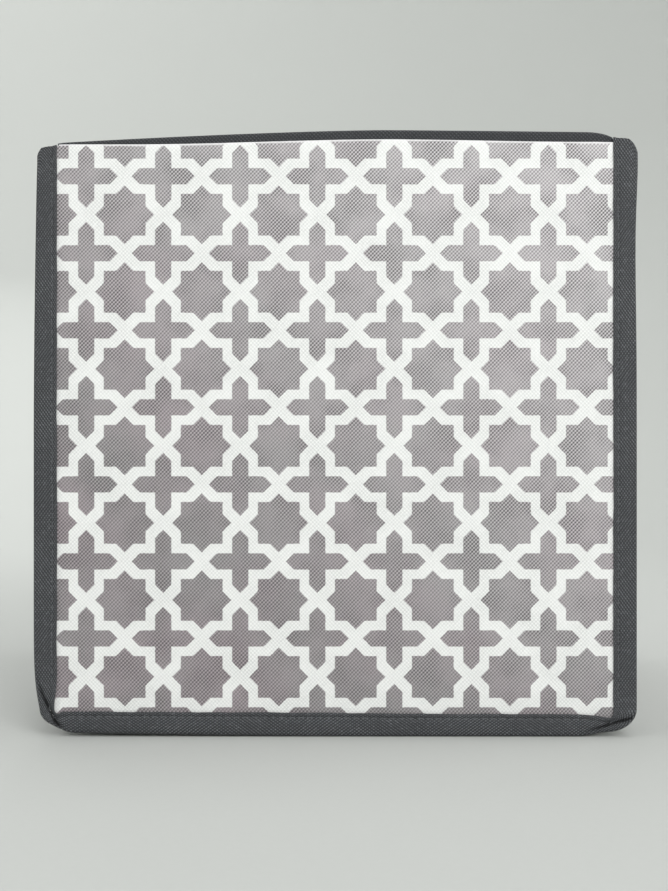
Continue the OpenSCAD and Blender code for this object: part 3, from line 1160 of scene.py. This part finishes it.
# %% Dyed cloth
def dyed_cloth(name, deep, wear_and_highlight, pitch, slant, flecks):
    """slant, from 0 to 1, is how far one diagonal of the weld grid stands out over the other."""
    material, start = new_finish(name)
    place, across, along = cloth_places(start)
    grid = weld_grid(across, along, pitch, pitch * 1.03)
    diagonal = ((across + along) * (math.tau / pitch)).cosine()
    grid = grid * (1 - slant) + diagonal * slant
    uneven = noise(start, place, 17 * MM, 3.0)
    fibres = noise(start, place, 0.5 * MM, 3.0, 0.65)
    ridge = grid.step(0.15, -0.75) * (0.45 + 0.9 * uneven)
    rubbed = noise(start, place, 2.6 * MM, 4.0, 0.62).step(0.50, 0.78) * flecks
    amount = ridge * 0.75 + rubbed * (0.25 + ridge)
    shade = amount.mix(colour(*deep), colour(*wear_and_highlight))
    shade = (fibres.step(0.3, 0.8) * 0.18).mix(shade, colour(*wear_and_highlight))
    # Painted shade: the cloth turns near black where the crease mask is high, standing in for the shadow
    # deep in the tucked creases.
    crease_painted_shade = start.node("ShaderNodeAttribute", {"attribute_name": "crease_painted_shade"}, output="Fac")
    shade = (crease_painted_shade * 0.92).mix(shade, colour(9, 9, 10))
    height = ridge + 0.35 * fibres
    roughness = 0.62 + 0.14 * fibres - 0.08 * ridge
    finish_with(
        start, shade, roughness, height, 0.22 * MM,
        **{"Sheen Weight": 0.10, "Sheen Roughness": 0.4, "Specular IOR Level": 0.35})
    return material


tape_finish = dyed_cloth("tape_cloth", (41, 42, 45), (118, 120, 124), 2.0, 0.25, 0.85)
lining_finish = dyed_cloth("lining_cloth", (39, 40, 43), (80, 82, 86), 1.85, 0.10, 0.35)
base_finish = dyed_cloth("base_cloth", (54, 55, 59), (98, 100, 105), 1.85, 0.10, 0.35)
print("dyed cloths:", [m.name for m in (tape_finish, lining_finish, base_finish)])

# %% [markdown]
# ## Thread and board
# Sewing thread is two plies twisted together: a slanted wave on the thread gives the twist. The board
# is gray-brown recycled pulp, with long fibres and darker specks.

# %% Sewing thread
def sewing_thread():
    material, start = new_finish("sewing_thread")
    place = start.node("ShaderNodeTexCoord", output="Object")
    parts = start.node("ShaderNodeSeparateXYZ", None, {0: place})
    slanted = (parts + parts.other("Y") + parts.other("Z")) * (math.tau / (0.7 * MM))
    twist = slanted.cosine().step(-0.6, 0.8)
    lint = noise(start, place, 0.4 * MM, 3.0)
    shade = twist.mix(colour(58, 60, 63), colour(104, 106, 110))
    shade = (lint.step(0.4, 0.8) * 0.4).mix(shade, colour(132, 134, 137))
    finish_with(
        start, shade, 0.55 + 0.15 * lint, twist + 0.3 * lint, 0.08 * MM, **{"Sheen Weight": 0.15})
    return material


# %% Board
def pulp_board():
    material, start = new_finish("pulp_board")
    place = start.node("ShaderNodeTexCoord", output="Object")
    stretched = start.node("ShaderNodeMapping", None, {"Vector": place, "Scale": (1.0, 1.0, 0.35)})
    fibres = noise(start, stretched, 1.5 * MM, 5.0, 0.65)
    clouds = noise(start, place, 28 * MM, 3.0)
    specks = noise(start, place, 0.9 * MM, 1.0).step(0.70, 0.78)
    shade = clouds.step(0.3, 0.7).mix(colour(176, 150, 116), colour(158, 134, 103))
    shade = (fibres.step(0.3, 0.75) * 0.5).mix(shade, colour(196, 174, 142))
    shade = (specks * 0.6).mix(shade, colour(96, 78, 58))
    finish_with(start, shade, 0.78 + 0.12 * fibres, fibres - 0.4 * specks, 0.12 * MM)
    return material


thread_finish = sewing_thread()
board_finish = pulp_board()

# %% [markdown]
# ## Give each piece its finish and its body, and hide its CAD node
# A piece rides on a CAD body, so it moves with the working model. The CAD node that it stands for is
# hidden. The cut size of each sheet is printed as well.

# %% Join the pieces to the frame
def put_on(piece, finish, body, node):
    piece.data.materials.clear()
    piece.data.materials.append(finish)
    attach(piece, body)
    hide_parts(node)


for piece, finish, slot, node in (
        (front_print, print_finish, "printed_fabric", "front_outer_panel"),
        (back_print, print_finish, "printed_fabric", "back_outer_panel"),
        (body_wrap, print_finish, "printed_fabric", "body_wrap"),
        (front_tape, tape_finish, "binding_tape", "front_binding_tape"),
        (back_tape, tape_finish, "binding_tape", "back_binding_tape"),
        (front_lining, lining_finish, "lining", "front_lining"),
        (back_lining, lining_finish, "lining", "back_lining"),
        (side_lining, lining_finish, "lining", "body_lining"),
        (front_stitches, thread_finish, "thread", "front_seam_thread"),
        (back_stitches, thread_finish, "thread", "back_seam_thread"),
        (left_crease, thread_finish, "thread", "left_crease_thread"),
        (right_crease, thread_finish, "thread", "right_crease_thread")):
    put_on(piece, finish, "bin", node)
put_on(base_cover, base_finish, "base_insert", "base_cover_top")
put_on(base_sheet, base_finish, "base_insert", "base_cover_underside")
for board in board_pieces:
    put_on(board, board_finish, "bin", boards[board.name][0])

loose_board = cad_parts["base_board"]
for material_slot in loose_board.material_slots:
    material_slot.material = board_finish

tape_cut = (TAPE_WIDE, float(seam_length[-1]))
panel_cut = (2 * (half_w + PANEL_MARGIN), print_top - under_z + PANEL_MARGIN + 8 * MM)
wrap_cut = (2 * (wrap_edge_y + FLANGE), float(wrap_length[-1]))
lining_cut = (2 * half_w, float(panel_marks[-1] - panel_marks[0]))
side_lining_cut = (2 * (half_d - wall + TUCKED), float(full_marks[-1] - full_marks[0]))
base_cut = (2 * float(base_marks[-1]), 2 * float(base_marks[-1]))
sheet_cut = (2 * sheet_high.x, 2 * sheet_high.y)
for piece, cut_size, held in (
        (front_print, panel_cut, "stretched"), (back_print, panel_cut, "stretched"),
        (body_wrap, wrap_cut, "stretched"), (front_tape, tape_cut, "folded"),
        (back_tape, tape_cut, "folded"), (front_lining, lining_cut, "stretched"),
        (back_lining, lining_cut, "stretched"), (side_lining, side_lining_cut, "stretched"),
        (base_cover, base_cut, "stretched"), (base_sheet, sheet_cut, "laid")):
    print(f"{piece.name}: cut {cut_size[0]:.3f} x {cut_size[1]:.3f} m, {held}")

# %% [markdown]
# ## The studio
# The bin stands in a pale bowl: a floor that curves up on all sides, so that there is no horizon from
# any angle. A profile of a few points is spun round the upright axis. The camera looks straight at the
# front from its own height, 0.64 m away, so only the front shows.

# %% The floor that curves up all round
FLAT_R = 1.1              # radius of the flat floor
BOWL_R = 1.0              # radius of the curve from floor to wall
BOWL_TOP = 3.0


def make_bowl():
    deselect_all()
    profile = [(0.0, 0.0), (0.35, 0.0), (0.7, 0.0), (FLAT_R, 0.0)]
    for angle in np.radians(np.linspace(-80, 0, 9)):
        profile.append((FLAT_R + BOWL_R * math.cos(angle), BOWL_R + BOWL_R * math.sin(angle)))
    profile.append((FLAT_R + BOWL_R, BOWL_TOP))
    mesh = bpy.data.meshes.new("studio_bowl")
    edges = [(index, index + 1) for index in range(len(profile) - 1)]
    mesh.from_pydata([(x, 0, z) for x, z in profile], edges, [])
    bowl = bpy.data.objects.new("studio_bowl", mesh)
    bpy.context.collection.objects.link(bowl)
    select_only(bowl)
    bpy.ops.object.mode_set(mode="EDIT")
    bpy.ops.mesh.select_all(action="SELECT")
    bpy.ops.mesh.spin(steps=96, angle=math.tau, center=(0, 0, 0), axis=(0, 0, 1))
    bpy.ops.mesh.select_all(action="SELECT")
    bpy.ops.mesh.remove_doubles(threshold=0.0001)
    bpy.ops.mesh.normals_make_consistent(inside=True)
    bpy.ops.object.mode_set(mode="OBJECT")
    smooth_faces(bowl, 60)
    print("studio bowl:", len(bowl.data.polygons), "faces")
    return bowl


def studio_paper():
    material, start = new_finish("studio_paper")
    place = start.node("ShaderNodeTexCoord", output="Object")
    grain = noise(start, place, 3 * MM, 2.0)
    shade = grain.mix(colour(194, 196, 193), colour(197, 199, 196))
    finish_with(start, shade, 0.9 + 0.05 * grain, grain, 0.02 * MM)
    return material


bowl = make_bowl()
bowl.data.materials.append(studio_paper())

# %% Soft lights
def soft_light(name, size, power, place, target=(0, 0, 0.14)):
    light = bpy.data.lights.new(name, "AREA")
    light.shape = "DISK"
    light.size = size
    light.energy = power
    lamp = bpy.data.objects.new(name, light)
    bpy.context.collection.objects.link(lamp)
    lamp.location = place
    lamp.visible_camera = False
    lamp.rotation_euler = (Vector(target) - Vector(place)).to_track_quat("-Z", "Y").to_euler()
    print(f"{name}: {power} W")


soft_light("key_light", 1.3, 19, (0.45, -1.5, 1.05))
soft_light("top_light", 1.4, 7, (0.0, 0.0, 1.9))
soft_light("left_fill", 1.0, 3, (-1.5, -0.6, 0.8))
soft_light("right_fill", 1.0, 3, (1.5, 0.3, 1.0))
soft_light("back_fill", 1.2, 5, (-0.4, 1.5, 1.1))
soft_light("wall_wash", 0.8, 12, (-0.8, 0.7, 1.6), target=(-0.5, 2.0, 0.9))

world = bpy.data.worlds.new("pale_room")
world.use_nodes = True
world.node_tree.nodes["Background"].inputs["Color"].default_value = (0.95, 0.97, 0.97, 1)
world.node_tree.nodes["Background"].inputs["Strength"].default_value = 0.62
bpy.context.scene.world = world
bpy.context.scene.view_settings.view_transform = "Standard"

# %% The camera
CAMERA_DISTANCE = 0.64    # from the front's face
CAMERA_X = -0.6 * MM
CAMERA_Z = 139.8 * MM
LENS = 53.87
SENSOR = 36
camera_data = bpy.data.cameras.new("camera")
camera_data.lens = LENS
camera_data.sensor_width = SENSOR
camera_data.clip_start = 0.01
camera_data.clip_end = 50
camera = bpy.data.objects.new("camera", camera_data)
bpy.context.collection.objects.link(camera)
camera.location = (CAMERA_X, -half_d - CAMERA_DISTANCE, CAMERA_Z)
camera.rotation_euler = (math.pi / 2, 0, 0)
bpy.context.scene.camera = camera
print(f"camera {CAMERA_DISTANCE} m from the front, {CAMERA_Z:.3f} m up")
